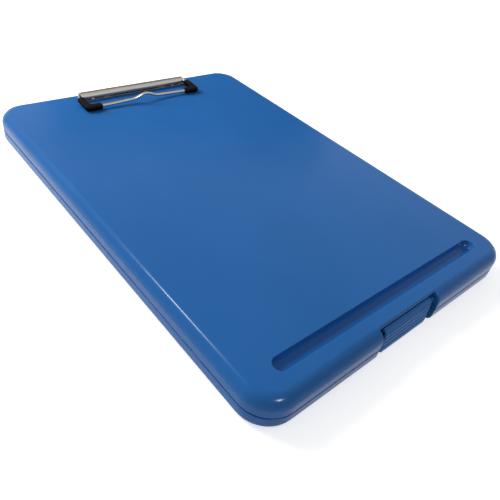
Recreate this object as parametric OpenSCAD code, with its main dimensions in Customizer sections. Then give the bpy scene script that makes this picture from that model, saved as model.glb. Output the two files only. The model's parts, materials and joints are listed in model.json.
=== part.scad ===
// Storage clipboard box: a hinged plastic case whose lid is a writing board.
// Origin at the centre of the flat underside. +X right, +Y towards the hinge and the clip, +Z up.

/* [Case] */
// Width of the case, left to right
case_w = 234; // [212:1:260]
// Length of the case, latch edge to hinge edge
case_l = 332; // [300:1:370]
// Height of the closed case to the board's face
case_h = 23; // [22:0.5:34]
// Height of the seam between tray and lid
part_z = 10; // [9:0.5:12]
// Corner radius seen from above
corner_r = 20; // [18:1:28]
// Radius that rounds the board's edge
top_round = 7.5; // [6:0.5:8]
// Radius that rounds the tray's bottom edge
base_round = 4.5; // [3.5:0.5:5]
// Wall thickness of both shells
wall = 2.2; // [1.8:0.1:2.8]
// Height of the dark seam groove
seam_h = 0.8; // [0.5:0.1:1.2]
// Gap between the rims inside the seam groove
rim_gap = 0.3; // [0.2:0.05:0.4]
// Thickness of the tongue that rises inside the lid's wall
tongue_t = 1.5; // [1:0.1:2]
// Height of the tongue above the tray's rim
tongue_h = 2.7; // [2:0.1:3.5]
// Gap between the tongue and the lid's wall
tongue_gap = 0.4; // [0.3:0.05:0.6]

/* [Pen groove] */
// Overall length of the groove
groove_l = 191; // [120:1:195]
// Width of the groove at the board's face
groove_w = 9.4; // [7:0.2:12]
// Depth of the groove
groove_d = 5; // [4:0.25:6.5]
// Distance from the latch edge to the groove's middle
groove_in = 19.5; // [18:0.5:30]

/* [Notch] */
// Width of the latch notch
notch_w = 56; // [54:1:70]
// Depth of the notch, front face to its back wall
notch_d = 9.8; // [9.6:0.2:11]
// Depth of the board's lip over the notch
lip_d = 4.4; // [3.6:0.2:4.8]

/* [Latch] */
// Width of the latch
latch_w = 46.4; // [40:0.4:50]
// Distance of the latch pin behind the front face
latch_pin_in = 5.8; // [5.5:0.1:5.9]
// Distance from the lip's underside to the top of the latch
latch_drop = 0.8; // [0.5:0.05:1]
// Radius that rounds the top of the latch about its pin
crown_r = 3.8; // [3.4:0.1:3.9]
// Radius of the latch's barrel behind the pin
latch_r = 2.2; // [1.9:0.1:2.4]
// Radius of the latch pin
latch_pin_r = 1; // [0.8:0.1:1.2]
// Thickness of the latch plate
latch_t = 1.9; // [1.5:0.1:2.2]
// Distance that the latch's foot stands in front of its top
latch_lean = 0.9; // [0:0.1:1.1]
// Height of the latch's foot above the base
foot_z = 1.2; // [0.8:0.1:2.4]
// Corner radius of the latch's foot
foot_r = 3; // [1.5:0.25:4]
// Bevel along the lower edge of the foot
foot_bevel = 0.5; // [0.2:0.1:0.8]
// Number of grip grooves across the latch
grips = 4; // [2:1:4]
// Height of the lowest grip groove above the foot
grip_up = 5; // [4:0.25:6]
// Distance between grip grooves
grip_pitch = 3.75; // [2.5:0.25:4]
// Radius of a grip groove
grip_r = 0.9; // [0.6:0.1:1.2]
// Depth of a grip groove
grip_d = 0.4; // [0.2:0.05:0.5]
// Radius of the bosses that carry the latch pin
boss_r = 1.8; // [1.5:0.1:2]
// Gap between the latch and the bosses
boss_gap = 0.4; // [0.3:0.1:0.8]
// Distance between the latch's two hooks
hook_span = 24; // [16:1:30]
// Width of a hook
hook_w = 4; // [3:0.5:6]
// Height of the tray's catch above the latch's foot
catch_up = 5; // [4:0.25:5.2]
// Reach of the tray's catch in front of the notch's back wall
catch_d = 2.8; // [2:0.1:3.2]
// Gap between a hook and the catch
catch_gap = 0.3; // [0.25:0.05:0.5]

/* [Hinge] */
// Distance of each hinge from the side of the case
hinge_in = 47; // [37:1:67]
// Distance of the hinge pin behind the rear face
hinge_out = 0.8; // [0.8:0.1:1.2]
// Radius of the hinge knuckles
knuckle_r = 3; // [2.8:0.1:3.2]
// Radius of the hinge pins
hinge_pin_r = 1.25; // [1:0.05:1.5]
// Length of the lid's knuckle
lid_knuckle = 16; // [12:1:24]
// Length of each of the tray's knuckles
tray_knuckle = 10; // [8:1:14]

/* [Clip plate] */
// Length of the clip plate
bar_l = 103; // [90:1:110]
// Depth of the clip plate, front to back
bar_d = 6.8; // [6.6:0.1:9]
// Height of the clip plate
bar_h = 6.2; // [6.1:0.1:8]
// Sheet thickness of the clip plate
bar_t = 0.9; // [0.7:0.05:1]
// Radius of the clip plate's bends
bar_r = 1.6; // [1.2:0.1:2]
// Height of the slot under the clip plate's front edge
bar_slot = 1.2; // [1:0.1:1.5]
// Distance from the rear face to the clip plate's back
bar_in = 12; // [11:0.5:16]
// Distance of each rivet from the middle of the clip plate
rivet_x = 40; // [36:1:44]
// Radius of the rivet shanks
rivet_r = 1.5; // [1.2:0.1:1.6]
// Radius of the rivet heads
rivet_head_r = 2.2; // [2:0.1:2.3]
// Height of the rivet heads
rivet_head_h = 1.1; // [0.8:0.1:1.2]
// Thickness of the washers under the board
washer_t = 0.8; // [0.6:0.1:1.2]
// Radius of the washers
washer_r = 3.6; // [3.2:0.1:4.5]

/* [Clip wire] */
// Radius of the wire
wire_r = 1.2; // [1:0.05:1.25]
// Height of the wire's pivot above the board
pivot_h = 3.7; // [3.5:0.1:3.8]
// Distance of the wire's pivot in front of the clip plate's back
pivot_in = 3.9; // [3.7:0.1:4.2]
// Distance of the wire's front run in front of its pivot
wire_reach = 18.9; // [15:0.5:26]
// Distance of each wire arm from the middle
wire_x = 53.2; // [53.1:0.1:57]
// Bend radius of the wire's inner corners, at the pivot
wire_bend_in = 2.4; // [2:0.1:2.6]
// Bend radius of the wire's outer corners, inside the sleeves
wire_bend_out = 4; // [3.6:0.1:5]
// Gap between the wire's two ends inside the clip plate
wire_gap = 8; // [4:1:20]
// Height of the finger hump
hump_h = 3.3; // [2:0.1:5]
// Half the width of the finger hump
hump_half = 13; // [9:0.5:20]
// Rise of the wire from the sleeves to the middle, without the hump
run_rise = 1; // [0:0.1:2]
// Width of a sleeve
sleeve_w = 6; // [4.6:0.1:6]
// Height of a sleeve
sleeve_h = 4.4; // [3.8:0.1:4.6]
// Radius of a sleeve's long edges
sleeve_edge = 1.6; // [1:0.1:1.8]
// Bend radius of a sleeve's middle line at its outer corner
sleeve_bend = 3.1; // [3.1:0.1:4.4]
// Distance of a sleeve's inner end from the middle
sleeve_end = 41; // [36:0.5:44]
// Gap between the sleeves and the board
board_gap = 0.3; // [0.25:0.05:0.5]
// Gap between a sleeve's rear end and the clip plate
sleeve_gap = 0.7; // [0.6:0.1:1.5]

/* [Clip spring] */
// Length of the leaf spring
spring_l = 60; // [40:1:64]
// Width of the leaf spring
spring_w = 3.25; // [2.5:0.25:3.5]
// Thickness of the leaf spring
spring_t = 0.4; // [0.3:0.05:0.5]
// Gap between the leaf spring and the wire
spring_gap = 0.05; // [0.02:0.01:0.1]

/* [Clearances] */
// Radial clearance of the hinge pins and the latch pin
pin_fit = 0.05; // [0.03:0.01:0.08]
// Radial clearance of the rivets and of the wire in its sleeves
snug_fit = 0.05; // [0.03:0.01:0.08]
// Gap between a knuckle and the wall cut away around it
knuckle_gap = 0.3; // [0.25:0.05:0.35]
// Gap between neighbouring knuckles
knuckle_end_gap = 0.4; // [0.3:0.05:0.6]

/* [Hidden] */

// Colours
shell_blue = "#2f6fae";
latch_blue = "#2b66a2";
sleeve_black = "#1b1c1e";
nickel = "#b9b4ab";
steel = "#c3c6c9";

// Fineness of round faces
round_fn = 96;
small_fn = 48;
bow_fn = 1440;

// Shells
half_w = case_w / 2;
half_l = case_l / 2;
mid_x = half_w - corner_r;
mid_y = half_l - corner_r;
tray_top = part_z - seam_h / 2;
lid_z = part_z + seam_h / 2;
land_z = tray_top + rim_gap;
land_w = wall / 2;
inner_r = corner_r - wall;
tongue_out = inner_r - tongue_gap;
tongue_in = tongue_out - tongue_t;
tongue_top = tray_top + tongue_h;
tongue_root = tray_top - wall;
deck_z = case_h - wall;

// Notch: distances are measured outwards from the corner centres, like the wall profiles
notch_x = notch_w / 2;
plate_x = notch_x + wall;
notch_face = corner_r - notch_d;
notch_back = notch_face - wall;
lip_face = notch_face + lip_d;

// Latch
latch_y = -(half_l - latch_pin_in);
latch_z = deck_z - latch_drop - crown_r;
crown_y = latch_y - crown_r;
foot_y = crown_y - latch_lean;
catch_y = -(mid_y + notch_face + catch_d);
catch_z0 = foot_z + catch_up;
catch_h = 2;
hook_h = 2;
hook_z1 = catch_z0 + catch_h / 2;
latch_pin_l = notch_w + 1.6 * wall;
// Each boss is rooted half-way into the side wall of the notch
boss_l = notch_x + wall / 2 - latch_w / 2 - boss_gap;

// Hinge
hinge_x = half_w - hinge_in;
hinge_y = half_l + hinge_out;
hinge_z = part_z;
hinge_l = lid_knuckle + 2 * (tray_knuckle + knuckle_end_gap);
hinge_pin_l = hinge_l - 0.6;
web_h = 5.5;

// Clip
bar_back = half_l - bar_in;
bar_front = bar_back - bar_d;
bar_mid = (bar_front + bar_back) / 2;
pivot_y = bar_back - pivot_in;
pivot_z = case_h + pivot_h;
// Drop of the front run that leaves the sleeves just above the board
front_z = case_h + board_gap + sleeve_h / 2;
wire_tilt = asin((pivot_z - front_z) / wire_reach);
arm_l = wire_reach - wire_bend_in - wire_bend_out;
sleeve_rear = (pivot_y - bar_front + sleeve_gap) / cos(wire_tilt);

// Front run between the sleeves
run_half = sleeve_end - 1;
run_rings = 60;
run_sides = 16;
// The swept run is a hair thinner than the straight wire, so that its ends sink into it cleanly
run_r = wire_r - 0.02;

// ---------- shared shapes ----------

// A profile drawn as [outward, up], swept along +X from x0 to x1
module across(x0, x1) {
    translate([x0, mid_y, 0]) rotate([90, 0, 90]) linear_extrude(height = x1 - x0) children();
}

// The same profile on the latch side
module across_front(x0, x1) {
    mirror([0, 1, 0]) across(x0, x1) children();
}

// A profile swept round both long sides, the corners and the rear
module around_sides() {
    for (side = [0, 1]) {
        mirror([side, 0, 0]) {
            translate([mid_x, mid_y, 0]) rotate([90, 0, 0])
                linear_extrude(height = 2 * mid_y) children();
            for (end = [0, 1]) {
                mirror([0, end, 0]) translate([mid_x, mid_y, 0])
                    rotate_extrude(angle = 90, $fn = round_fn) children();
            }
        }
    }
    across(-mid_x, mid_x) children();
}

// A pin along X, centred on x
module rod_x(x, y, z, radius, length) {
    translate([x - length / 2, y, z]) rotate([0, 90, 0])
        cylinder(r = radius, h = length, $fn = small_fn);
}

// ---------- wall profiles ----------

module lid_profile() {
    translate([0, deck_z]) square([corner_r - top_round, wall]);
    intersection() {
        translate([corner_r - top_round, case_h - top_round]) difference() {
            circle(r = top_round, $fn = round_fn);
            circle(r = top_round - wall, $fn = round_fn);
        }
        translate([corner_r - top_round, case_h - top_round]) square([top_round, top_round]);
    }
    translate([inner_r, lid_z]) square([wall, case_h - top_round - lid_z]);
    translate([inner_r, land_z]) square([land_w, lid_z - land_z]);
}

module lid_solid_profile() {
    translate([0, lid_z]) square([corner_r - top_round, case_h - lid_z]);
    intersection() {
        translate([corner_r - top_round, case_h - top_round]) circle(r = top_round, $fn = round_fn);
        translate([corner_r - top_round, case_h - top_round]) square([top_round, top_round]);
    }
    translate([corner_r - top_round, lid_z]) square([top_round, case_h - top_round - lid_z]);
}

module tray_profile() {
    square([corner_r - base_round, wall]);
    intersection() {
        translate([corner_r - base_round, base_round]) difference() {
            circle(r = base_round, $fn = round_fn);
            circle(r = base_round - wall, $fn = round_fn);
        }
        translate([corner_r - base_round, 0]) square([base_round, base_round]);
    }
    translate([inner_r, base_round]) square([wall, tray_top - base_round]);
}

module tray_solid_profile() {
    square([corner_r - base_round, tray_top]);
    intersection() {
        translate([corner_r - base_round, base_round]) circle(r = base_round, $fn = round_fn);
        translate([corner_r - base_round, 0]) square([base_round, base_round]);
    }
    translate([corner_r - base_round, base_round]) square([base_round, tray_top - base_round]);
}

// The tongue with the gusset that carries it, drawn for a wall whose inner face is at inner_r
module tongue_profile() {
    polygon([[tongue_in, tongue_root], [inner_r + wall / 2, tongue_root - (inner_r - tongue_in)],
             [inner_r + wall / 2, tray_top], [tongue_out, tray_top], [tongue_out, tongue_top],
             [tongue_in, tongue_top]]);
}

// ---------- tray ----------

module tray_shell() {
    around_sides() {
        tray_profile();
        tongue_profile();
    }
    translate([-mid_x, -mid_y, 0]) cube([2 * mid_x, 2 * mid_y, wall]);
    for (side = [0, 1]) {
        mirror([side, 0, 0]) {
            across_front(plate_x, mid_x) tray_profile();
            across_front(plate_x + tongue_gap, mid_x) tongue_profile();
            // Side wall of the notch, with the tongue turned in beside it
            across_front(notch_x, plate_x) {
                tray_profile();
                intersection() {
                    tray_solid_profile();
                    translate([notch_back, 0]) square([corner_r, tray_top]);
                }
            }
            across_front(plate_x - wall / 2, plate_x + tongue_gap + tongue_t)
                translate([tongue_in - notch_d, tongue_root])
                    square([tongue_out - tongue_in + notch_d, tray_top - tongue_root]);
            across_front(plate_x + tongue_gap, plate_x + tongue_gap + tongue_t)
                translate([tongue_in - notch_d, tongue_root])
                    square([tongue_out - tongue_in + notch_d, tongue_top - tongue_root]);
        }
    }
    // Floor and back wall of the notch
    across_front(-notch_x, notch_x) {
        square([notch_face, wall]);
        translate([notch_back, 0]) square([wall, tray_top]);
    }
    across_front(-plate_x - tongue_gap, plate_x + tongue_gap)
        translate([-notch_d, 0]) tongue_profile();
    // Catch that the latch's hooks snap under
    across_front(-hook_span / 2 - hook_w, hook_span / 2 + hook_w)
        translate([notch_face - wall / 2, catch_z0]) square([catch_d + wall / 2, catch_h]);
}

// Web and barrel of one knuckle; up is 1 on the lid and -1 on the tray
module knuckle(x, length, up) {
    rod_x(x, hinge_y, hinge_z, knuckle_r, length);
    translate([x - length / 2, 0, hinge_z]) rotate([90, 0, 90])
        linear_extrude(height = length)
            polygon([[hinge_y, 0], [half_l - wall / 2, 0], [half_l - wall / 2, up * web_h],
                     [half_l, up * web_h],
                     [hinge_y + knuckle_r * cos(40), up * knuckle_r * sin(40)]]);
}

tray_knuckle_x = (lid_knuckle + tray_knuckle) / 2 + knuckle_end_gap;

module tray() {
    color(shell_blue) difference() {
        union() {
            difference() {
                tray_shell();
                for (side = [-1, 1]) {
                    rod_x(side * hinge_x, hinge_y, hinge_z, knuckle_r + knuckle_gap,
                          lid_knuckle + 2 * knuckle_end_gap);
                }
            }
            for (side = [-1, 1], end = [-1, 1]) {
                knuckle(side * hinge_x + end * tray_knuckle_x, tray_knuckle, -1);
            }
        }
        for (side = [-1, 1]) {
            rod_x(side * hinge_x, hinge_y, hinge_z, hinge_pin_r + pin_fit, hinge_l + 1);
        }
    }
}

module hinge_pin(x) {
    color(steel) rod_x(x, hinge_y, hinge_z, hinge_pin_r, hinge_pin_l);
}

// ---------- lid ----------

// A trough with round ends: the pen groove, or the wall around it
module trough(radius, length) {
    translate([0, -half_l + groove_in, 0]) {
        rod_x(0, 0, groove_z, radius, length - groove_w);
        for (end = [-1, 1]) {
            translate([end * (length - groove_w) / 2, 0, groove_z])
                sphere(r = radius, $fn = small_fn);
        }
    }
}

groove_r = groove_w / 2;
groove_z = case_h - groove_d + groove_r;

module lid_shell() {
    around_sides() lid_profile();
    translate([-mid_x, -mid_y, deck_z]) cube([2 * mid_x, 2 * mid_y, wall]);
    for (side = [0, 1]) {
        mirror([side, 0, 0]) {
            across_front(plate_x, mid_x) lid_profile();
            // Side wall of the notch
            across_front(notch_x, plate_x) {
                lid_profile();
                intersection() {
                    lid_solid_profile();
                    translate([notch_back, lid_z]) square([corner_r, case_h]);
                }
            }
        }
    }
    // Lip over the latch and back wall of the notch
    across_front(-notch_x, notch_x) intersection() {
        lid_solid_profile();
        union() {
            translate([0, deck_z]) square([lip_face, wall]);
            translate([notch_back, lid_z]) square([wall, case_h - lid_z]);
        }
    }
}

module lid() {
    color(shell_blue) difference() {
        union() {
            difference() {
                union() {
                    lid_shell();
                    // Wall around the pen groove, under the board
                    intersection() {
                        trough(groove_r + wall, groove_l);
                        translate([-half_w, -half_l, 0]) cube([case_w, case_l, deck_z + wall / 2]);
                    }
                }
                for (side = [-1, 1], end = [-1, 1]) {
                    rod_x(side * hinge_x + end * tray_knuckle_x, hinge_y, hinge_z,
                          knuckle_r + knuckle_gap, tray_knuckle + 2 * knuckle_end_gap);
                }
            }
            for (side = [-1, 1]) {
                knuckle(side * hinge_x, lid_knuckle, 1);
                // Boss that carries the latch pin beside the latch
                rod_x(side * (latch_w / 2 + boss_gap + boss_l / 2), latch_y, latch_z, boss_r, boss_l);
            }
        }
        trough(groove_r, groove_l);
        for (side = [-1, 1]) {
            rod_x(side * hinge_x, hinge_y, hinge_z, hinge_pin_r + pin_fit, hinge_l + 1);
            translate([side * rivet_x, bar_mid, deck_z - 1])
                cylinder(r = rivet_r + snug_fit, h = wall + 2, $fn = small_fn);
        }
        rod_x(0, latch_y, latch_z, latch_pin_r + pin_fit, latch_pin_l + 0.4);
    }
}

module latch_pin() {
    color(steel) rod_x(0, latch_y, latch_z, latch_pin_r, latch_pin_l);
}

// ---------- clip ----------

module round_box(w, h, r) {
    translate([r, 0]) square([w - 2 * r, h]);
    translate([0, r]) square([w, h - 2 * r]);
    for (x = [r, w - r], y = [r, h - r]) {
        translate([x, y]) circle(r = r, $fn = small_fn);
    }
}

module clip_plate() {
    color(nickel) difference() {
        translate([-bar_l / 2, bar_front, case_h]) rotate([90, 0, 90])
            linear_extrude(height = bar_l) difference() {
                round_box(bar_d, bar_h, bar_r);
                translate([bar_t, bar_t])
                    round_box(bar_d - 2 * bar_t, bar_h - 2 * bar_t, bar_r - bar_t);
                translate([-bar_t, bar_t]) square([bar_r + bar_t, bar_slot]);
            }
        for (side = [-1, 1]) {
            translate([side * rivet_x, bar_mid, case_h - 1])
                cylinder(r = rivet_r + snug_fit, h = bar_t + 2, $fn = small_fn);
        }
    }
}

module clip_rivets() {
    color(steel) for (side = [-1, 1]) {
        translate([side * rivet_x, bar_mid, 0]) {
            translate([0, 0, deck_z - washer_t])
                cylinder(r = rivet_r, h = wall + washer_t + bar_t, $fn = small_fn);
            translate([0, 0, case_h + bar_t])
                cylinder(r = rivet_head_r, h = rivet_head_h, $fn = small_fn);
            translate([0, 0, deck_z - washer_t - rivet_head_h])
                cylinder(r = rivet_head_r, h = rivet_head_h, $fn = small_fn);
        }
    }
}

module rivet_washers() {
    color(steel) for (side = [-1, 1]) {
        translate([side * rivet_x, bar_mid, deck_z - washer_t]) difference() {
            cylinder(r = washer_r, h = washer_t, $fn = small_fn);
            translate([0, 0, -1])
                cylinder(r = rivet_r + snug_fit, h = washer_t + 2, $fn = small_fn);
        }
    }
}

spring_rise = pivot_h - wire_r - bar_t - spring_gap - spring_t;
spring_curve_r = (spring_l * spring_l / 4 + spring_rise * spring_rise) / (2 * spring_rise);

// A bowed strip whose ends stand on the clip plate's foot and whose crown carries the wire
module clip_spring() {
    color(steel) translate([0, pivot_y + spring_w / 2, case_h + bar_t]) rotate([90, 0, 0])
        linear_extrude(height = spring_w) intersection() {
            translate([0, spring_rise - spring_curve_r]) difference() {
                circle(r = spring_curve_r + spring_t, $fn = bow_fn);
                circle(r = spring_curve_r, $fn = bow_fn);
            }
            translate([-spring_l / 2, 0]) square([spring_l, spring_rise + 2 * spring_t]);
        }
}

// The frame of the bail: x across, y towards the front run, z away from the board
module bail_frame() {
    translate([0, pivot_y, pivot_z]) rotate([wire_tilt, 0, 0]) mirror([0, 1, 0]) children();
}

// A quarter bend in the bail's plane, from angle a0, with any cross-section
module quarter(cx, cy, radius, a0) {
    translate([cx, cy, 0]) rotate([0, 0, a0])
        rotate_extrude(angle = 90, $fn = round_fn) translate([radius, 0]) children();
}

// Height of the front run at x, and its slope in degrees
function run_z(x) = run_rise * (1 + cos(180 * x / run_half)) / 2
    + (abs(x) < hump_half ? hump_h * (1 + cos(180 * x / hump_half)) / 2 : 0);
function run_slope(x) = atan(-PI / 2 * (run_rise / run_half * sin(180 * x / run_half)
    + (abs(x) < hump_half ? hump_h / hump_half * sin(180 * x / hump_half) : 0)));
function run_x(i) = run_half * (2 * i / run_rings - 1);
function run_point(x, a) = [x - run_r * cos(a) * sin(run_slope(x)), wire_reach + run_r * sin(a),
                            run_z(x) + run_r * cos(a) * cos(run_slope(x))];

// The front run with its finger hump, swept ring by ring
module front_run() {
    points = [for (i = [0 : run_rings], j = [0 : run_sides - 1])
              run_point(run_x(i), 360 * j / run_sides)];
    sides = [for (i = [0 : run_rings - 1], j = [0 : run_sides - 1])
             let (a = i * run_sides + j, b = i * run_sides + (j + 1) % run_sides)
             each [[a, b, a + run_sides], [b, b + run_sides, a + run_sides]]];
    first = [for (j = [run_sides - 1 : -1 : 0]) j];
    last = [for (j = [0 : run_sides - 1]) run_rings * run_sides + j];
    polyhedron(points = points, faces = concat(sides, [first, last]));
}

module wire_along_x(x0, x1, y) {
    translate([x0, y, 0]) rotate([0, 90, 0])
        cylinder(r = wire_r, h = x1 - x0, $fn = small_fn);
}

module clip_wire() {
    color(steel) bail_frame() {
        front_run();
        for (side = [0, 1]) {
            mirror([side, 0, 0]) {
                // End that turns inside the clip plate
                wire_along_x(wire_gap / 2, wire_x - wire_bend_in, 0);
                quarter(wire_x - wire_bend_in, wire_bend_in, wire_bend_in, 270)
                    circle(r = wire_r, $fn = small_fn);
                // Arm and outer corner
                translate([wire_x, wire_bend_in, 0]) rotate([-90, 0, 0])
                    cylinder(r = wire_r, h = arm_l, $fn = small_fn);
                quarter(wire_x - wire_bend_out, wire_reach - wire_bend_out, wire_bend_out, 0)
                    circle(r = wire_r, $fn = small_fn);
                wire_along_x(run_half - 0.5, wire_x - wire_bend_out, wire_reach);
            }
        }
    }
}

module sleeve_section() {
    translate([-sleeve_w / 2, -sleeve_h / 2]) round_box(sleeve_w, sleeve_h, sleeve_edge);
}

// An L-shaped run from the sleeve's rear end round the outer corner to its inner end
module sleeve_run(extra, bend) {
    rear = sleeve_rear - extra;
    front = wire_reach - bend;
    translate([wire_x, front, 0]) rotate([90, 0, 0])
        linear_extrude(height = front - rear) children();
    quarter(wire_x - bend, front, bend, 0) children();
    translate([sleeve_end - extra, wire_reach, 0]) rotate([90, 0, 90])
        linear_extrude(height = wire_x - bend - sleeve_end + extra) children();
}

module clip_sleeve() {
    color(sleeve_black) difference() {
        sleeve_run(0, sleeve_bend) sleeve_section();
        sleeve_run(1, wire_bend_out) circle(r = wire_r + snug_fit, $fn = small_fn);
    }
}

// ---------- latch ----------

// Seen from the end: the barrel, the crown in front of it and the plate, which leans forward
module latch_side() {
    translate([latch_y, latch_z]) circle(r = latch_r, $fn = small_fn);
    intersection() {
        translate([latch_y, latch_z]) circle(r = crown_r, $fn = round_fn);
        translate([crown_y, latch_z]) square([crown_r, crown_r]);
    }
    polygon([[crown_y, latch_z], [foot_y, foot_z + foot_bevel], [foot_y + foot_bevel, foot_z],
             [foot_y + latch_t, foot_z], [crown_y + latch_t, latch_z - latch_r],
             [latch_y, latch_z - latch_r / 2], [latch_y, latch_z]]);
}

// Seen from the front: straight sides and a foot with round corners
module latch_outline() {
    translate([-latch_w / 2, foot_z + foot_r]) square([latch_w, case_h - foot_z - foot_r]);
    translate([foot_r - latch_w / 2, foot_z]) square([latch_w - 2 * foot_r, 2 * foot_r]);
    for (side = [-1, 1]) {
        translate([side * (latch_w / 2 - foot_r), foot_z + foot_r])
            circle(r = foot_r, $fn = small_fn);
    }
}

// Where the latch's face lies at a height, on the plate and on the crown
function face_y(z) = z < latch_z
    ? crown_y - latch_lean * (latch_z - z) / (latch_z - foot_z)
    : latch_y - sqrt(crown_r * crown_r - (z - latch_z) * (z - latch_z));

module latch() {
    color(latch_blue) difference() {
        union() {
            intersection() {
                translate([-latch_w / 2, 0, 0]) rotate([90, 0, 90])
                    linear_extrude(height = latch_w) latch_side();
                translate([0, latch_y + 2 * latch_r, 0]) rotate([90, 0, 0])
                    linear_extrude(height = half_l + latch_y + 4 * latch_r) latch_outline();
            }
            // Hooks
            for (side = [-1, 1]) {
                translate([side * hook_span / 2 - hook_w / 2, crown_y + latch_t / 2,
                           hook_z1 - hook_h])
                    cube([hook_w, catch_y - catch_gap - crown_y - latch_t / 2, hook_h]);
            }
        }
        // Grip grooves
        for (i = [0 : grips - 1]) {
            z = foot_z + grip_up + i * grip_pitch;
            rod_x(0, face_y(z) + grip_d - grip_r, z, grip_r, latch_w + 1);
        }
        rod_x(0, latch_y, latch_z, latch_pin_r + pin_fit, latch_w + 1);
    }
}

tray();
hinge_pin(-hinge_x);  // hinge_pin_left
hinge_pin(hinge_x);  // hinge_pin_right
lid();
latch_pin();
clip_plate();
clip_rivets();
rivet_washers();
clip_spring();
clip_wire();
bail_frame() mirror([1, 0, 0]) clip_sleeve();  // clip_sleeve_left
bail_frame() clip_sleeve();  // clip_sleeve_right
latch();
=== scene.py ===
"""Looks of a storage clipboard box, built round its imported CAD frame.

The case is blue moulded polypropylene, the clip plate nickel-plated sheet steel, the clip wire
bright spring steel and its corner sleeves black vinyl. Lengths are millimetres until MM turns
them into Blender's metres.
"""

import json
import logging
import math
from dataclasses import dataclass
from enum import Enum

import bmesh
import bpy
from mathutils import Euler, Matrix, Vector

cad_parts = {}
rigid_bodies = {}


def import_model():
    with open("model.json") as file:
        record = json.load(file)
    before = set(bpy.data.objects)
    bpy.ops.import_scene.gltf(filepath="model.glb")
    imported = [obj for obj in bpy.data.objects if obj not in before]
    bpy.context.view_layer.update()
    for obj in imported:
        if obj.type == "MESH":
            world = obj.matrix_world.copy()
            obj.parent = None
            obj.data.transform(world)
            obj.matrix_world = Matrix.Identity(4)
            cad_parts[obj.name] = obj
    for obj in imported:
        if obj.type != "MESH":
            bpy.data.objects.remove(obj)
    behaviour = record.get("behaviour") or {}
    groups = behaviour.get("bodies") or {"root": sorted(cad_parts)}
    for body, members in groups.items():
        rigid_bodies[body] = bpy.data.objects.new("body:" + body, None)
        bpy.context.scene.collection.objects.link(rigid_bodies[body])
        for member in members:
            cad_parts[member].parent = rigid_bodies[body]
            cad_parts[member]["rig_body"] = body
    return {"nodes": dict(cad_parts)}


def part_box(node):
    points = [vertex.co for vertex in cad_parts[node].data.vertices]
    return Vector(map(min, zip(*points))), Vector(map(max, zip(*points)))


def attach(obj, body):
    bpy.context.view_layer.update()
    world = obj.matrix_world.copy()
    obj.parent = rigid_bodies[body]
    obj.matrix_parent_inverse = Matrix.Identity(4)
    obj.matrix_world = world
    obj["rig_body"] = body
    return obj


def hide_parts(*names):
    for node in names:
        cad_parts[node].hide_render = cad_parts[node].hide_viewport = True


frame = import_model()
LOG = logging.getLogger("storage_clipboard_box")
MM = 0.001
WHITE = (1.0, 1.0, 1.0, 1.0)
# Points of a CAD mesh nearer than this, in metres, are one, and shorter edges are dropped
WELD = 2e-6
SHORTEST = 1e-6
# Neighbouring faces that turn by less than this many degrees are one flat face
FLAT_ANGLE = 0.4
# On the rolled plate and the sleeves, edges sharper than this many degrees are rounded
CORNER_ANGLE = 60.0
# Straight pieces in a quarter turn
ARC_STEPS = 8
# Noise seldom leaves this range
NOISE_LOW, NOISE_HIGH = 0.3, 0.7


class Body(Enum):
    """The bodies that the new clip pieces ride on."""

    LID = "case_lid"
    BAIL = "clip_bail"


class RoundedBy(Enum):
    """How a rounding picks its edges."""

    WEIGHT = "WEIGHT"
    ANGLE = "ANGLE"


class Slot(Enum):
    """The record's material slots."""

    SHELL = "shell_plastic"
    LATCH = "latch_plastic"
    NICKEL = "nickel_plate"
    SPRING = "spring_steel"
    STEEL = "pin_steel"
    SLEEVE = "black_sleeve"


# ---------- small helpers ----------


def linear(hex_colour: str) -> tuple[float, float, float, float]:
    """Turns an sRGB hex colour into linear RGBA.

    Args:
        hex_colour: Six hex digits after a hash sign.

    Returns:
        Red, green, blue and an alpha of 1.
    """
    values = [int(hex_colour[i : i + 2], 16) / 255 for i in (1, 3, 5)]
    low = [v / 12.92 if v <= 0.04045 else ((v + 0.055) / 1.055) ** 2.4 for v in values]
    return low[0], low[1], low[2], 1.0


def add_node(
    tree: bpy.types.NodeTree, kind: str, links: dict | None = None, **settings: object,
) -> bpy.types.Node:
    """Adds a node, sets its inputs or properties, and links its inputs.

    Args:
        tree: The tree that gets the node.
        kind: The node's type name.
        links: Input name or number to the output socket that feeds it.
        **settings: Property names, or input names with spaces written as underscores.

    Returns:
        The new node.
    """
    node = tree.nodes.new(kind)
    for name, value in settings.items():
        if name in node.bl_rna.properties:
            setattr(node, name, value)
        else:
            node.inputs[name.replace("_", " ")].default_value = value
    for name, socket in (links or {}).items():
        tree.links.new(socket, node.inputs[name])
    return node


def empty_material(name: str) -> bpy.types.Material:
    """Makes a material whose node tree is empty."""
    material = bpy.data.materials.new(name)
    material.use_nodes = True
    material.node_tree.nodes.clear()
    return material


def blank_material(name: str) -> tuple[bpy.types.Material, bpy.types.Node, bpy.types.Node]:
    """Makes a material with a bare Principled shader.

    Args:
        name: The material's name.

    Returns:
        The material, its Principled node and its Texture Coordinate node.
    """
    material = empty_material(name)
    tree = material.node_tree
    shader = add_node(tree, "ShaderNodeBsdfPrincipled")
    add_node(tree, "ShaderNodeOutputMaterial", {"Surface": shader.outputs["BSDF"]})
    return material, shader, add_node(tree, "ShaderNodeTexCoord")


def dress(piece: bpy.types.Object, material: bpy.types.Material) -> None:
    """Gives a piece its material."""
    piece.data.materials.clear()
    piece.data.materials.append(material)


def link_mesh(name: str, mesh: bpy.types.Mesh) -> bpy.types.Object:
    """Puts a mesh into the scene as an object at the origin."""
    piece = bpy.data.objects.new(name, mesh)
    bpy.context.scene.collection.objects.link(piece)
    return piece


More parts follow.
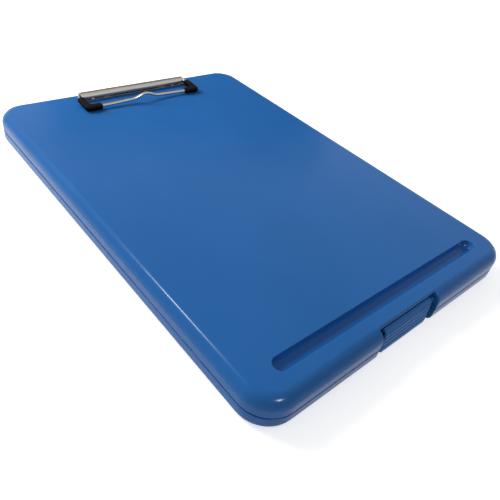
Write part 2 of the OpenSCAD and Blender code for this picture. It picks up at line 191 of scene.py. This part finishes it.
def smooth_piece(name: str, work: bmesh.types.BMesh) -> bpy.types.Object:
    """Turns a work mesh into a smooth-shaded object and frees it.

    Args:
        name: Name of the mesh and of the object.
        work: The work mesh.

    Returns:
        The object, at the origin.
    """
    for face in work.faces:
        face.smooth = True
    mesh = bpy.data.meshes.new(name)
    work.to_mesh(mesh)
    work.free()
    return link_mesh(name, mesh)


def panel(name: str, corners: list[Vector], material: bpy.types.Material) -> bpy.types.Object:
    """Makes a flat panel that belongs to the studio.

    Args:
        name: Name of the mesh and of the object.
        corners: Its four corners, in metres.
        material: Its material.

    Returns:
        The panel.
    """
    mesh = bpy.data.meshes.new(name)
    mesh.from_pydata(corners, [], [(0, 1, 2, 3)])
    sheet = link_mesh(name, mesh)
    sheet.data.materials.append(material)
    return sheet


@dataclass(frozen=True)
class Zone:
    """A box whose sharp edges get a rounding of their own.

    Attributes:
        low: Lowest corner, in millimetres.
        high: Highest corner, in millimetres.
        width: Width of the rounding there, in millimetres.
    """

    low: tuple[float, float, float]
    high: tuple[float, float, float]
    width: float

    def holds(self, edge: bmesh.types.BMEdge) -> bool:
        """Tells whether both ends of an edge lie in the box."""
        return all(
            self.low[i] * MM <= vert.co[i] <= self.high[i] * MM
            for vert in edge.verts for i in range(3)
        )


def rounding(
    piece: bpy.types.Object, width: float, segments: int, by: RoundedBy,
) -> bpy.types.BevelModifier:
    """Adds the modifier that rounds a piece's edges.

    Args:
        piece: The piece.
        width: Width of the rounding in millimetres.
        segments: Steps across the rounding.
        by: How the rounding picks its edges.

    Returns:
        The modifier.
    """
    bevel = piece.modifiers.new("rounded_edges", "BEVEL")
    bevel.width = width * MM
    bevel.segments = segments
    bevel.use_clamp_overlap = False
    bevel.limit_method = by.value
    bevel.angle_limit = math.radians(CORNER_ANGLE)
    # Flat faces keep their own normals, so that only the roundings shade as round
    piece.modifiers.new("flat_faces", "WEIGHTED_NORMAL").mode = "FACE_AREA"
    return bevel


def rounded_path(corners: list[tuple[float, float, float]], closed: bool) -> list[Vector]:
    """Rounds the corners of a path whose sides meet at right angles.

    Args:
        corners: Each corner's two coordinates and its radius.
        closed: Whether the last corner joins the first.

    Returns:
        The path's points.
    """
    path = []
    for i, (a, b, radius) in enumerate(corners):
        corner = Vector((a, b))
        if not closed and i in (0, len(corners) - 1):
            path.append(corner)
            continue
        before = (Vector(corners[i - 1][:2]) - corner).normalized()
        after = (Vector(corners[(i + 1) % len(corners)][:2]) - corner).normalized()
        centre = corner + (before + after) * radius
        for step in range(ARC_STEPS + 1):
            turn = math.radians(90 * step / ARC_STEPS)
            back, ahead = before * radius * math.sin(turn), after * radius * math.cos(turn)
            path.append(centre - ahead - back)
    return path


def softened(
    node: str, name: str, width: float, segments: int = 3, angle: float = 32.0,
    zones: tuple[Zone, ...] = (),
) -> bpy.types.Object:
    """Copies a CAD node and rounds its sharp edges, as a mould leaves them.

    Args:
        node: The CAD node to copy.
        name: The new piece's name.
        width: Width of the rounding in millimetres.
        segments: Steps across the rounding.
        angle: Edges sharper than this many degrees are rounded.
        zones: Places whose rounding is wider or narrower.

    Returns:
        The piece, which replaces the node.
    """
    work = bmesh.new()
    work.from_mesh(frame["nodes"][node].data)
    bmesh.ops.remove_doubles(work, verts=work.verts, dist=WELD)
    bmesh.ops.dissolve_degenerate(work, edges=work.edges, dist=SHORTEST)
    bmesh.ops.dissolve_limit(
        work, angle_limit=math.radians(FLAT_ANGLE), verts=work.verts, edges=work.edges,
        delimit={"NORMAL"},
    )
    widest = max([width] + [zone.width for zone in zones])
    weight = work.edges.layers.float.new("bevel_weight_edge")
    for edge in work.edges:
        if edge.is_manifold and edge.calc_face_angle() > math.radians(angle):
            own = next((zone.width for zone in zones if zone.holds(edge)), width)
            edge[weight] = own / widest
    piece = smooth_piece(name, work)
    rounding(piece, widest, segments, RoundedBy.WEIGHT).miter_outer = "MITER_ARC"
    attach(piece, frame["nodes"][node]["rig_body"])
    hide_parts(node)
    return piece


# ---------- finishes ----------


@dataclass(frozen=True)
class MouldedPolypropylene:
    """Blue injection-moulded polypropylene, its steel mould finely eroded.

    The eye sees an even body colour, a soft broad sheen and, close up, a faint pebble grain.

    Attributes:
        name: The material's name.
        colour: Body colour.
        shade: Body colour where flow lines run a little darker.
        roughness: Mean roughness.
        gloss: Specular level, under one half as on a waxy, unpainted plastic.
        ior: Refraction of polypropylene.
        flow_marks: Flow marks along one metre, each about 70 mm long.
        clouds: Patches of changed sheen along one metre, each about 30 mm wide.
        smoother: How far a patch lowers the roughness.
        rougher: How far a patch raises the roughness.
        grain: Width of a pebble of the grain, in millimetres.
        grain_depth: Depth of the grain, in millimetres.
        grain_strength: Share of that depth that the shading shows.
    """

    name: str = "moulded_polypropylene_blue"
    colour: str = "#2565aa"
    shade: str = "#2161a3"
    roughness: float = 0.19
    gloss: float = 0.11
    ior: float = 1.49
    flow_marks: float = 14.0
    clouds: float = 34.0
    smoother: float = 0.03
    rougher: float = 0.04
    grain: float = 0.5
    grain_depth: float = 0.006
    grain_strength: float = 0.5

    def material(self) -> bpy.types.Material:
        """Builds the material.

        Returns:
            The finished material.
        """
        material, shader, coord = blank_material(self.name)
        tree = material.node_tree
        flow = add_node(
            tree, "ShaderNodeTexNoise", {"Vector": coord.outputs["Object"]},
            Scale=self.flow_marks, Detail=3.0, Roughness=0.5,
        )
        ramp = add_node(tree, "ShaderNodeValToRGB", {"Fac": flow.outputs["Fac"]})
        ends = ((NOISE_LOW, self.shade), (NOISE_HIGH, self.colour))
        for stop, (position, colour) in zip(ramp.color_ramp.elements, ends):
            stop.position = position
            stop.color = linear(colour)
        tree.links.new(ramp.outputs["Color"], shader.inputs["Base Color"])
        # A hand's grease and rubbing leave cloudy changes of sheen
        rub = add_node(
            tree, "ShaderNodeTexNoise", {"Vector": coord.outputs["Object"]},
            Scale=self.clouds, Detail=4.0, Roughness=0.6,
        )
        sheen = add_node(
            tree, "ShaderNodeMapRange", {"Value": rub.outputs["Fac"]},
            From_Min=NOISE_LOW, From_Max=NOISE_HIGH,
            To_Min=self.roughness - self.smoother, To_Max=self.roughness + self.rougher,
        )
        tree.links.new(sheen.outputs["Result"], shader.inputs["Roughness"])
        # The pebbles are coarser than a mould's, so that they still show in the render
        pebbles = add_node(
            tree, "ShaderNodeTexNoise", {"Vector": coord.outputs["Object"]},
            Scale=1.0 / (self.grain * MM), Detail=1.0,
        )
        bump = add_node(
            tree, "ShaderNodeBump", {"Height": pebbles.outputs["Fac"]},
            Strength=self.grain_strength, Distance=self.grain_depth * MM,
        )
        tree.links.new(bump.outputs["Normal"], shader.inputs["Normal"])
        shader.inputs["IOR"].default_value = self.ior
        shader.inputs["Specular IOR Level"].default_value = self.gloss
        return material


@dataclass(frozen=True)
class PlatedSteel:
    """Steel with a thin bright plating, rolled or drawn along one direction.

    The eye sees a warm grey mirror with fine streaks along the metal's length.

    Attributes:
        name: The material's name.
        colour: Colour of the plating.
        roughness: Mean roughness.
        smoother: How far a streak lowers the roughness.
        rougher: How far a streak raises the roughness.
        streak: Spacing of the streaks, in millimetres.
        streak_depth: Depth of the streaks, in millimetres.
        streak_strength: Share of that depth that the shading shows.
        along: Share of the pattern's fineness that is left along X, which draws the streaks out.
    """

    name: str
    colour: str
    roughness: float
    smoother: float = 0.06
    rougher: float = 0.08
    streak: float = 0.35
    streak_depth: float = 0.004
    streak_strength: float = 0.25
    along: float = 0.03

    def material(self) -> bpy.types.Material:
        """Builds the material.

        Returns:
            The finished material.
        """
        material, shader, coord = blank_material(self.name)
        tree = material.node_tree
        stretch = add_node(tree, "ShaderNodeMapping", {"Vector": coord.outputs["Object"]})
        stretch.inputs["Scale"].default_value = (self.along, 1.0, 1.0)
        streaks = add_node(
            tree, "ShaderNodeTexNoise", {"Vector": stretch.outputs["Vector"]},
            Scale=1.0 / (self.streak * MM), Detail=2.0,
        )
        rough = add_node(
            tree, "ShaderNodeMapRange", {"Value": streaks.outputs["Fac"]},
            To_Min=self.roughness - self.smoother, To_Max=self.roughness + self.rougher,
        )
        tree.links.new(rough.outputs["Result"], shader.inputs["Roughness"])
        bump = add_node(
            tree, "ShaderNodeBump", {"Height": streaks.outputs["Fac"]},
            Strength=self.streak_strength, Distance=self.streak_depth * MM,
        )
        tree.links.new(bump.outputs["Normal"], shader.inputs["Normal"])
        shader.inputs["Base Color"].default_value = linear(self.colour)
        shader.inputs["Metallic"].default_value = 1.0
        return material


@dataclass(frozen=True)
class DippedVinyl:
    """Black flexible vinyl, moulded over the wire.

    The eye sees near-black with a dull waxy gleam along rounded edges.

    Attributes:
        name: The material's name.
        colour: Body colour.
        roughness: Mean roughness.
        smoother: How far a patch lowers the roughness.
        rougher: How far a patch raises the roughness.
        gloss: Specular level, low as on a soft, slightly dusty skin.
        ior: Refraction of vinyl.
        patch: Width of a patch of the skin, in millimetres.
        patch_depth: Depth of its unevenness, in millimetres.
        patch_strength: Share of that depth that the shading shows.
    """

    name: str = "moulded_vinyl_black"
    colour: str = "#0b0a0d"
    roughness: float = 0.32
    smoother: float = 0.08
    rougher: float = 0.10
    gloss: float = 0.05
    ior: float = 1.53
    patch: float = 1.2
    patch_depth: float = 0.02
    patch_strength: float = 0.4

    def material(self) -> bpy.types.Material:
        """Builds the material.

        Returns:
            The finished material.
        """
        material, shader, coord = blank_material(self.name)
        tree = material.node_tree
        skin = add_node(
            tree, "ShaderNodeTexNoise", {"Vector": coord.outputs["Object"]},
            Scale=1.0 / (self.patch * MM), Detail=3.0,
        )
        rough = add_node(
            tree, "ShaderNodeMapRange", {"Value": skin.outputs["Fac"]},
            To_Min=self.roughness - self.smoother, To_Max=self.roughness + self.rougher,
        )
        tree.links.new(rough.outputs["Result"], shader.inputs["Roughness"])
        bump = add_node(
            tree, "ShaderNodeBump", {"Height": skin.outputs["Fac"]},
            Strength=self.patch_strength, Distance=self.patch_depth * MM,
        )
        tree.links.new(bump.outputs["Normal"], shader.inputs["Normal"])
        shader.inputs["Base Color"].default_value = linear(self.colour)
        shader.inputs["IOR"].default_value = self.ior
        shader.inputs["Specular IOR Level"].default_value = self.gloss
        return material


# ---------- the case ----------


@dataclass
class Case:
    """Tray, lid, hinge pins and latch pin.

    Attributes:
        shell_edge: Rounding that the mould leaves on the shells' edges, in millimetres.
        notch_edges: The softer edges of the notch and of the lip over the latch.
        plastic: Finish of both shells.
        steel: Finish of the pins.
    """

    shell_edge: float = 0.45
    notch_edges: Zone = Zone((-28.5, -166.5, 10.5), (28.5, -160.0, 23.2), 0.85)
    plastic: MouldedPolypropylene = MouldedPolypropylene()
    steel: PlatedSteel = PlatedSteel("turned_steel_pin", "#b4b6b8", 0.32)

    def build(self) -> list[bpy.types.Object]:
        """Rounds the shells' edges and dresses the case.

        Returns:
            The pieces made and the CAD nodes dressed.
        """
        plastic = self.plastic.material()
        steel = self.steel.material()
        shells = [
            softened("tray", "tray_shell", self.shell_edge),
            softened("lid", "lid_shell", self.shell_edge, zones=(self.notch_edges,)),
        ]
        for shell in shells:
            dress(shell, plastic)
        pins = [frame["nodes"][n] for n in ("hinge_pin_left", "hinge_pin_right", "latch_pin")]
        for pin in pins:
            dress(pin, steel)
        return shells + pins


@dataclass
class Latch:
    """The snap latch: one moulded slab with grip grooves across its face.

    Attributes:
        edge: Rounding of the latch's edges, in millimetres.
        grip_edge: Rounding along the grip grooves, in millimetres.
        end_margin: How far the latch's ends lie outside the grooves' zone, in millimetres.
        front_margin: How far the zone reaches in front of the latch, in millimetres.
        foot_height: Height of the foot under the grooves' zone, in millimetres.
        plastic: Finish of the latch, the shells' blue painted lighter and redder to stand in for
            light and sheen that its face misses.
    """

    edge: float = 0.45
    grip_edge: float = 0.25
    end_margin: float = 0.01
    front_margin: float = 1.0
    foot_height: float = 3.0
    # Painted light: the latch is the shells' own polypropylene, but its colour and shade are
    # lighter and redder. They stand in for the sheen that its low gloss leaves out and for the
    # light that its slightly downward face misses.
    plastic: MouldedPolypropylene = MouldedPolypropylene(
        name="latch_polypropylene_painted_lighter", colour="#4076ba", shade="#3c72b4",
        roughness=0.40, gloss=0.04,
    )

    def build(self) -> list[bpy.types.Object]:
        """Rounds and dresses the latch.

        Returns:
            The pieces made.
        """
        low, high = [tuple(value / MM for value in corner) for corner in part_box("latch")]
        face = Zone(
            (low[0] + self.end_margin, low[1] - self.front_margin, low[2] + self.foot_height),
            (high[0] - self.end_margin, high[1], high[2]), self.grip_edge,
        )
        slab = softened("latch", "latch_slab", self.edge, zones=(face,))
        dress(slab, self.plastic.material())
        return [slab]


# ---------- the paper clip ----------


@dataclass
class PaperClip:
    """The low clip: a rolled plate, a wire bail with a finger hump, and corner sleeves.

    Lengths are the source's own, in millimetres.

    Attributes:
        pivot_y: Where the wire's pivot lies, front to back.
        pivot_z: Height of the wire's pivot.
        front_z: Height of the wire's front run inside the sleeves.
        reach: Distance from the pivot to the front run, along the bail.
        arm_x: Distance of each arm from the middle.
        bend_in: Bend radius at the pivot.
        bend_out: Bend radius inside the sleeves.
        end_gap: Gap between the wire's ends inside the plate.
        run_half: Half the length of the run between the sleeves.
        run_rise: Rise of the run from the sleeves to the middle.
        hump_height: Height of the finger hump.
        hump_half: Half the width of the finger hump.
        run_steps: Straight pieces in half of the run.
        wire_radius: Radius of the wire.
        wire_sides: Sides of the wire's round section.
        sleeve_width: Width of a sleeve, seen from above.
        sleeve_height: Height of a sleeve.
        sleeve_rear: Distance from the pivot to a sleeve's rear end, along the bail.
        sleeve_end: Distance of a sleeve's inner end from the middle.
        sleeve_corner: Radius of a sleeve's outer corner, seen from above.
        sleeve_inner_corner: Radius of its inner corner.
        sleeve_end_corner: Radius of the corners at its inner end.
        sleeve_rear_corner: Radius of the corners at its rear end.
        sleeve_edge: Rounding of a sleeve's upper and lower edges.
        sheet: Thickness of the rolled plate's sheet.
        sheet_edge: Rounding of the sheet's cut edges.
        slot_height: Height of the slot under the plate's front edge.
        front_bend: Radius of the plate's upper front bend.
        rear_bend: Radius of the plate's rear bends.
        foot_bend: Radius of the bend at the plate's front foot.
        nickel: Finish of the rolled plate.
        spring: Finish of the wire and the leaf spring.
        steel: Finish of the rivets and washers.
        vinyl: Finish of the sleeves.
    """

    pivot_y: float = 150.1
    pivot_z: float = 26.7
    front_z: float = 25.5
    reach: float = 18.9
    arm_x: float = 53.2
    bend_in: float = 2.4
    bend_out: float = 4.0
    end_gap: float = 8.0
    run_half: float = 40.0
    run_rise: float = 1.0
    hump_height: float = 3.3
    hump_half: float = 13.0
    run_steps: int = 48
    wire_radius: float = 1.2
    wire_sides: int = 32
    sleeve_width: float = 6.0
    sleeve_height: float = 4.4
    sleeve_rear: float = 3.6
    sleeve_end: float = 41.0
    sleeve_corner: float = 3.0
    sleeve_inner_corner: float = 0.6
    sleeve_end_corner: float = 2.7
    sleeve_rear_corner: float = 1.7
    sleeve_edge: float = 1.6
    sheet: float = 0.9
    sheet_edge: float = 0.15
    slot_height: float = 1.2
    front_bend: float = 2.8
    rear_bend: float = 1.6
    foot_bend: float = 0.8
    nickel: PlatedSteel = PlatedSteel("nickel_plated_sheet", "#aca79f", 0.27)
    spring: PlatedSteel = PlatedSteel("nickel_plated_spring_wire", "#aaa8a3", 0.22)
    steel: PlatedSteel = PlatedSteel("plain_rivet_steel", "#b0b2b4", 0.34)
    vinyl: DippedVinyl = DippedVinyl()

    def placed(self, x: float, y: float, z: float) -> Vector:
        """Turns a point of the bail's own plane into the frame's metres.

        Args:
            x: Distance across, in millimetres.
            y: Distance from the pivot towards the front run.
            z: Height over the bail's plane.

        Returns:
            The point in metres.
        """
        tilt = Euler((math.asin((self.pivot_z - self.front_z) / self.reach), 0, 0)).to_matrix()
        return (Vector((0, self.pivot_y, self.pivot_z)) + tilt @ Vector((x, -y, z))) * MM

    def build_plate(self) -> bpy.types.Object:
        """Rolls the clip plate from one strip of sheet, with its fullest bend over the front.

        Returns:
            The plate, which replaces its CAD node.
        """
        low, high = [[value / MM for value in corner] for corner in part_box("clip_plate")]
        slot_top = low[2] + self.sheet + self.slot_height
        bends = [
            (low[1], slot_top, 0.0), (low[1], high[2], self.front_bend),
            (high[1], high[2], self.rear_bend), (high[1], low[2], self.rear_bend),
            (low[1], low[2], self.foot_bend), (low[1], low[2] + self.sheet, 0.0),
        ]
        path = rounded_path(bends, closed=False)
        work = bmesh.new()
        rings = [
            [work.verts.new(Vector((x, y, z)) * MM) for y, z in path] for x in (low[0], high[0])
        ]
        for i in range(len(path) - 1):
            work.faces.new((rings[0][i], rings[1][i], rings[1][i + 1], rings[0][i + 1]))
        plate = smooth_piece("rolled_plate", work)
        solid = plate.modifiers.new("sheet_thickness", "SOLIDIFY")
        solid.thickness = self.sheet * MM
        solid.offset = -1.0
        solid.use_even_offset = True
        rounding(plate, self.sheet_edge, 2, RoundedBy.ANGLE)
        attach(plate, Body.LID.value)
        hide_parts("clip_plate")
        return plate

    def sleeve_outline(self) -> list[Vector]:
        """Lists the outline of the right sleeve in the bail's plane.

        Returns:
            Points across and along, with the corners rounded.
        """
        half = self.sleeve_width / 2
        inner, outer = self.arm_x - half, self.arm_x + half
        near, far = self.reach - half, self.reach + half
        corners = [
            (inner, self.sleeve_rear, self.sleeve_rear_corner),
            (outer, self.sleeve_rear, self.sleeve_rear_corner),
            (outer, far, self.sleeve_corner),
            (self.sleeve_end, far, self.sleeve_end_corner),
            (self.sleeve_end, near, self.sleeve_end_corner),
            (inner, near, self.sleeve_inner_corner),
        ]
        return rounded_path(corners, closed=True)

    def build_sleeve(self, node: str, name: str, side: int) -> bpy.types.Object:
        """Moulds one corner sleeve as a rounded block over the wire's bend.

        Args:
            node: The CAD node that it replaces.
            name: The piece's name.
            side: 1 for the right sleeve, -1 for the left one.

        Returns:
            The sleeve.
        """
        outline = self.sleeve_outline()
        work = bmesh.new()
        rings = [
            [work.verts.new(self.placed(side * x, y, z)) for x, y in outline]
            for z in (-self.sleeve_height / 2, self.sleeve_height / 2)
        ]
        work.faces.new(rings[0])
        work.faces.new(rings[1])
        for i in range(len(outline)):
            work.faces.new((rings[0][i - 1], rings[0][i], rings[1][i], rings[1][i - 1]))
        bmesh.ops.recalc_face_normals(work, faces=work.faces)
        sleeve = smooth_piece(name, work)
        rounding(sleeve, self.sleeve_edge, 5, RoundedBy.ANGLE)
        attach(sleeve, Body.BAIL.value)
        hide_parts(node)
        return sleeve

    def rise(self, x: float) -> float:
        """Gives the front run's height above the sleeves at x."""
        height = self.run_rise * (1 + math.cos(math.pi * x / self.run_half)) / 2
        if abs(x) < self.hump_half:
            height += self.hump_height * (1 + math.cos(math.pi * x / self.hump_half)) / 2
        return height

    def wire_path(self) -> list[Vector]:
        """Lists the wire's centre line from one end inside the plate to the other.

        Returns:
            Points in metres, in the frame's axes.
        """
        half = [Vector((self.end_gap / 2, 0, 0)), Vector((self.arm_x - self.bend_in, 0, 0))]
        turns = [math.radians(90 * step / ARC_STEPS) for step in range(ARC_STEPS + 1)]
        for turn in turns[1:]:
            half.append(Vector((
                self.arm_x - self.bend_in + self.bend_in * math.sin(turn),
                self.bend_in * (1 - math.cos(turn)), 0,
            )))
        for turn in turns:
            half.append(Vector((
                self.arm_x - self.bend_out + self.bend_out * math.cos(turn),
                self.reach - self.bend_out + self.bend_out * math.sin(turn), 0,
            )))
        for step in range(self.run_steps + 1):
            x = self.run_half * (1 - step / self.run_steps)
            half.append(Vector((x, self.reach, self.rise(x))))
        whole = half + [Vector((-p.x, p.y, p.z)) for p in reversed(half[:-1])]
        return [self.placed(p.x, p.y, p.z) for p in whole]

    def wire_tree(self, material: bpy.types.Material) -> bpy.types.NodeTree:
        """Builds the tree that sweeps a round section along a line of points.

        Args:
            material: The wire's finish.

        Returns:
            The geometry tree, with the wire's radius as a named input.
        """
        tree = bpy.data.node_groups.new("bent_wire", "GeometryNodeTree")
        tree.interface.new_socket("Geometry", in_out="OUTPUT", socket_type="NodeSocketGeometry")
        tree.interface.new_socket("Geometry", socket_type="NodeSocketGeometry")
        radius = tree.interface.new_socket("Wire radius", socket_type="NodeSocketFloat")
        radius.default_value = self.wire_radius * MM
        given = add_node(tree, "NodeGroupInput").outputs
        line = add_node(tree, "GeometryNodeMeshToCurve", {"Mesh": given["Geometry"]})
        section = add_node(
            tree, "GeometryNodeCurvePrimitiveCircle", {"Radius": given["Wire radius"]},
            Resolution=self.wire_sides,
        )
        swept = add_node(
            tree, "GeometryNodeCurveToMesh",
            {"Curve": line.outputs["Curve"], "Profile Curve": section.outputs["Curve"]},
        )
        swept.inputs["Fill Caps"].default_value = True
        real = add_node(
            tree, "GeometryNodeRealizeInstances", {"Geometry": swept.outputs["Mesh"]},
        )
        finish = add_node(
            tree, "GeometryNodeSetMaterial", {"Geometry": real.outputs["Geometry"]},
            Material=material,
        )
        add_node(tree, "NodeGroupOutput", {"Geometry": finish.outputs["Geometry"]})
        return tree

    def build_wire(self) -> bpy.types.Object:
        """Sweeps the bail's wire.

        Returns:
            The wire, which replaces its CAD node.
        """
        finish = self.spring.material()
        points = self.wire_path()
        mesh = bpy.data.meshes.new("bail_line")
        mesh.from_pydata(points, [(i, i + 1) for i in range(len(points) - 1)], [])
        line = link_mesh("bail_line", mesh)
        line.modifiers.new("sweep", "NODES").node_group = self.wire_tree(finish)
        bpy.context.view_layer.update()
        result = line.evaluated_get(bpy.context.evaluated_depsgraph_get())
        swept = bpy.data.meshes.new_from_object(result)
        bpy.data.objects.remove(line)
        swept.shade_smooth()
        wire = link_mesh("bail_wire", swept)
        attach(wire, Body.BAIL.value)
        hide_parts("clip_wire")
        dress(wire, finish)
        return wire

    def build(self) -> list[bpy.types.Object]:
        """Makes and dresses the clip.

        Returns:
            The pieces made and the CAD nodes dressed.
        """
        vinyl = self.vinyl.material()
        nickel = self.nickel.material()
        plate = self.build_plate()
        dress(plate, nickel)
        sleeves = [
            self.build_sleeve("clip_sleeve_left", "sleeve_left", -1),
            self.build_sleeve("clip_sleeve_right", "sleeve_right", 1),
        ]
        for sleeve in sleeves:
            dress(sleeve, vinyl)
        leaf = frame["nodes"]["clip_spring"]
        dress(leaf, self.spring.material())
        steel = self.steel.material()
        fixings = [frame["nodes"][n] for n in ("clip_rivets", "rivet_washers")]
        for fixing in fixings:
            dress(fixing, steel)
        return [plate, self.build_wire(), leaf] + sleeves + fixings


# ---------- studio ----------


@dataclass
class StripLamp:
    """A thin tube lamp between two points, seen as a streak in the glossy edges.

    Attributes:
        name: The lamp's name.
        start: One end, in metres.
        end: The other end.
        width: Width of the tube, in metres.
        power: Power in watts.
    """

    name: str
    start: tuple[float, float, float]
    end: tuple[float, float, float]
    width: float
    power: float

    def build(self) -> None:
        """Hangs the lamp, turned to the case."""
        start, end = Vector(self.start), Vector(self.end)
        middle = (start + end) / 2
        along = (end - start).normalized()
        back = middle.normalized()
        back = (back - along * back.dot(along)).normalized()
        data = bpy.data.lights.new(self.name, "AREA")
        data.shape = "RECTANGLE"
        data.size, data.size_y = (end - start).length, self.width
        data.energy = self.power
        lamp = bpy.data.objects.new(self.name, data)
        turn = Matrix((along, back.cross(along), back)).transposed().to_4x4()
        lamp.matrix_world = Matrix.Translation(middle) @ turn
        # It only draws a streak and adds no light of its own
        lamp.visible_diffuse = False
        bpy.context.scene.collection.objects.link(lamp)


def seen_directly(tree: bpy.types.NodeTree) -> bpy.types.NodeSocket:
    """Adds nodes that give 1 to rays of the camera, of gloss and of glass, else 0.

    Args:
        tree: The material's or the world's tree.

    Returns:
        The socket with the result.
    """
    path = add_node(tree, "ShaderNodeLightPath").outputs
    mirrored = add_node(
        tree, "ShaderNodeMath",
        {0: path["Is Glossy Ray"], 1: path["Is Transmission Ray"]}, operation="MAXIMUM",
    )
    return add_node(
        tree, "ShaderNodeMath",
        {0: path["Is Camera Ray"], 1: mirrored.outputs["Value"]}, operation="MAXIMUM",
    ).outputs["Value"]


@dataclass(frozen=True)
class DarkCard:
    """A dark card behind the case that only the gloss sees, so that the metal gets a dark band.

    Attributes:
        away: Its distance from the middle of the case, level with the floor, in metres.
        heading: Degrees from +Y towards +X at which it stands.
        width: Its width.
        low: Height of its lower edge.
        high: Height of its upper edge.
        colour: Its colour.
    """

    away: float = 1.7
    heading: float = 36.0
    width: float = 1.2
    low: float = 0.42
    high: float = 1.0
    colour: str = "#39332c"

    def build(self) -> None:
        """Stands the card behind the case and hides it from all but the gloss."""
        material = empty_material("dark_card")
        tree = material.node_tree
        paint = add_node(tree, "ShaderNodeEmission", Color=linear(self.colour))
        add_node(tree, "ShaderNodeOutputMaterial", {"Surface": paint.outputs["Emission"]})
        turn = Matrix.Rotation(math.radians(-self.heading), 4, "Z")
        left, right = -self.width / 2, self.width / 2
        edges = ((left, self.low), (right, self.low), (right, self.high), (left, self.high))
        corners = [turn @ Vector((x, self.away, z)) for x, z in edges]
        card = panel("dark_card", corners, material)
        card.visible_camera = False
        card.visible_diffuse = False
        card.visible_shadow = False
        card.visible_transmission = False


@dataclass
class Studio:
    """A pale floor, a soft key from behind, two thin tubes and a dark card.

    Attributes:
        key_at: Place of the soft key, in metres.
        key_size: Side of the soft key's square.
        key_power: Power of the key, in watts.
        sky: Strength of the world's light on the object.
        floor: Colour of the floor.
        floor_half: Half the side of the floor, in metres.
        floor_glow: Share of white that the floor shows to the camera beside its shaded colour.
        tubes: The thin lamps.
        card: The dark card.
    """

    key_at: tuple[float, float, float] = (-0.35, 0.82, 0.64)
    key_size: float = 0.6
    key_power: float = 12.5
    sky: float = 0.41
    floor: str = "#ededee"
    floor_half: float = 6.0
    floor_glow: float = 0.62
    tubes: tuple[StripLamp, ...] = (
        StripLamp("left_tube", (-0.512, 0.826, 1.162), (-0.530, 0.588, 1.281), 0.02, 11.0),
        StripLamp("front_tube", (-0.314, -1.216, 1.058), (-0.045, -1.242, 1.052), 0.03, 20.0),
    )
    card: DarkCard = DarkCard()

    def build_world(self) -> None:
        """Makes a world that looks white but lights the case softly."""
        world = bpy.data.worlds.new("studio_sky")
        world.use_nodes = True
        bpy.context.scene.world = world
        tree = world.node_tree
        tree.nodes.clear()
        seen = seen_directly(tree)
        strength = add_node(
            tree, "ShaderNodeMapRange", {"Value": seen}, To_Min=self.sky, To_Max=1.0,
        )
        sky = add_node(
            tree, "ShaderNodeBackground", {"Strength": strength.outputs["Result"]}, Color=WHITE,
        )
        add_node(tree, "ShaderNodeOutputWorld", {"Surface": sky.outputs["Background"]})

    def build_floor(self) -> None:
        """Lays the floor, level with the underside of the case."""
        material = empty_material("painted_floor")
        tree = material.node_tree
        paint = add_node(tree, "ShaderNodeBsdfDiffuse", Color=linear(self.floor))
        glow = add_node(tree, "ShaderNodeEmission", Color=WHITE)
        share = add_node(tree, "ShaderNodeMath", {0: seen_directly(tree)}, operation="MULTIPLY")
        share.inputs[1].default_value = self.floor_glow
        tree.links.new(share.outputs["Value"], glow.inputs["Strength"])
        both = add_node(
            tree, "ShaderNodeAddShader", {0: paint.outputs["BSDF"], 1: glow.outputs["Emission"]},
        )
        add_node(tree, "ShaderNodeOutputMaterial", {"Surface": both.outputs["Shader"]})
        signs = ((-1, -1), (1, -1), (1, 1), (-1, 1))
        corners = [Vector((x * self.floor_half, y * self.floor_half, 0)) for x, y in signs]
        panel("floor", corners, material)

    def build_key(self) -> None:
        """Hangs the soft key and turns it to the middle of the case."""
        data = bpy.data.lights.new("soft_key", "AREA")
        data.shape = "SQUARE"
        data.size = self.key_size
        data.energy = self.key_power
        key = bpy.data.objects.new("soft_key", data)
        key.location = self.key_at
        key.rotation_euler = (-Vector(self.key_at)).to_track_quat("-Z", "Y").to_euler()
        # The tubes alone draw the highlights, as in the photograph
        key.visible_glossy = False
        bpy.context.scene.collection.objects.link(key)

    def build(self) -> None:
        """Sets up world, floor, lamps and card."""
        self.build_world()
        self.build_floor()
        self.build_key()
        for tube in self.tubes:
            tube.build()
        self.card.build()
        bpy.context.scene.view_settings.view_transform = "Standard"


@dataclass
class PhotoCamera:
    """The camera at the photograph's viewpoint.

    Attributes:
        place: Where it stands, in metres.
        heading: Degrees from +Y towards +X.
        pitch: Degrees below the horizon.
        roll: Degrees that it is turned counter-clockwise.
        focal_px: Focal length in pixels of the 500-pixel frame.
        frame_px: Width of the frame, in pixels.
        sensor: Width of the sensor, in millimetres.
        nearest: Distance at which it starts to see, in metres.
    """

    place: tuple[float, float, float] = (-0.2250, -0.2338, 0.2235)
    heading: float = 47.48
    pitch: float = 40.0
    roll: float = 11.42
    focal_px: float = 502.4
    frame_px: int = 500
    sensor: float = 36.0
    nearest: float = 0.01

    def build(self) -> bpy.types.Object:
        """Sets the camera up as the scene's own.

        Returns:
            The camera object.
        """
        data = bpy.data.cameras.new("photo_camera")
        data.sensor_width = self.sensor
        data.lens = self.sensor * self.focal_px / self.frame_px
        data.clip_start = self.nearest
        camera = bpy.data.objects.new("photo_camera", data)
        turn = Matrix.Rotation(math.radians(-self.heading), 4, "Z")
        turn @= Matrix.Rotation(math.radians(90 - self.pitch), 4, "X")
        turn @= Matrix.Rotation(math.radians(self.roll), 4, "Z")
        camera.matrix_world = Matrix.Translation(self.place) @ turn
        bpy.context.scene.collection.objects.link(camera)
        bpy.context.scene.camera = camera
        return camera


def main() -> None:
    """Dresses the case, the latch and the clip, and sets up studio and camera."""
    logging.basicConfig(level=logging.INFO, format="%(name)s: %(message)s")
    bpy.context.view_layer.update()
    PhotoCamera().build()
    Studio().build()
    for part in (Case(), Latch(), PaperClip()):
        for piece in part.build():
            LOG.info("%s: %s, %d faces", type(part).__name__, piece.name, len(piece.data.polygons))


if __name__ == "__main__":
    main()
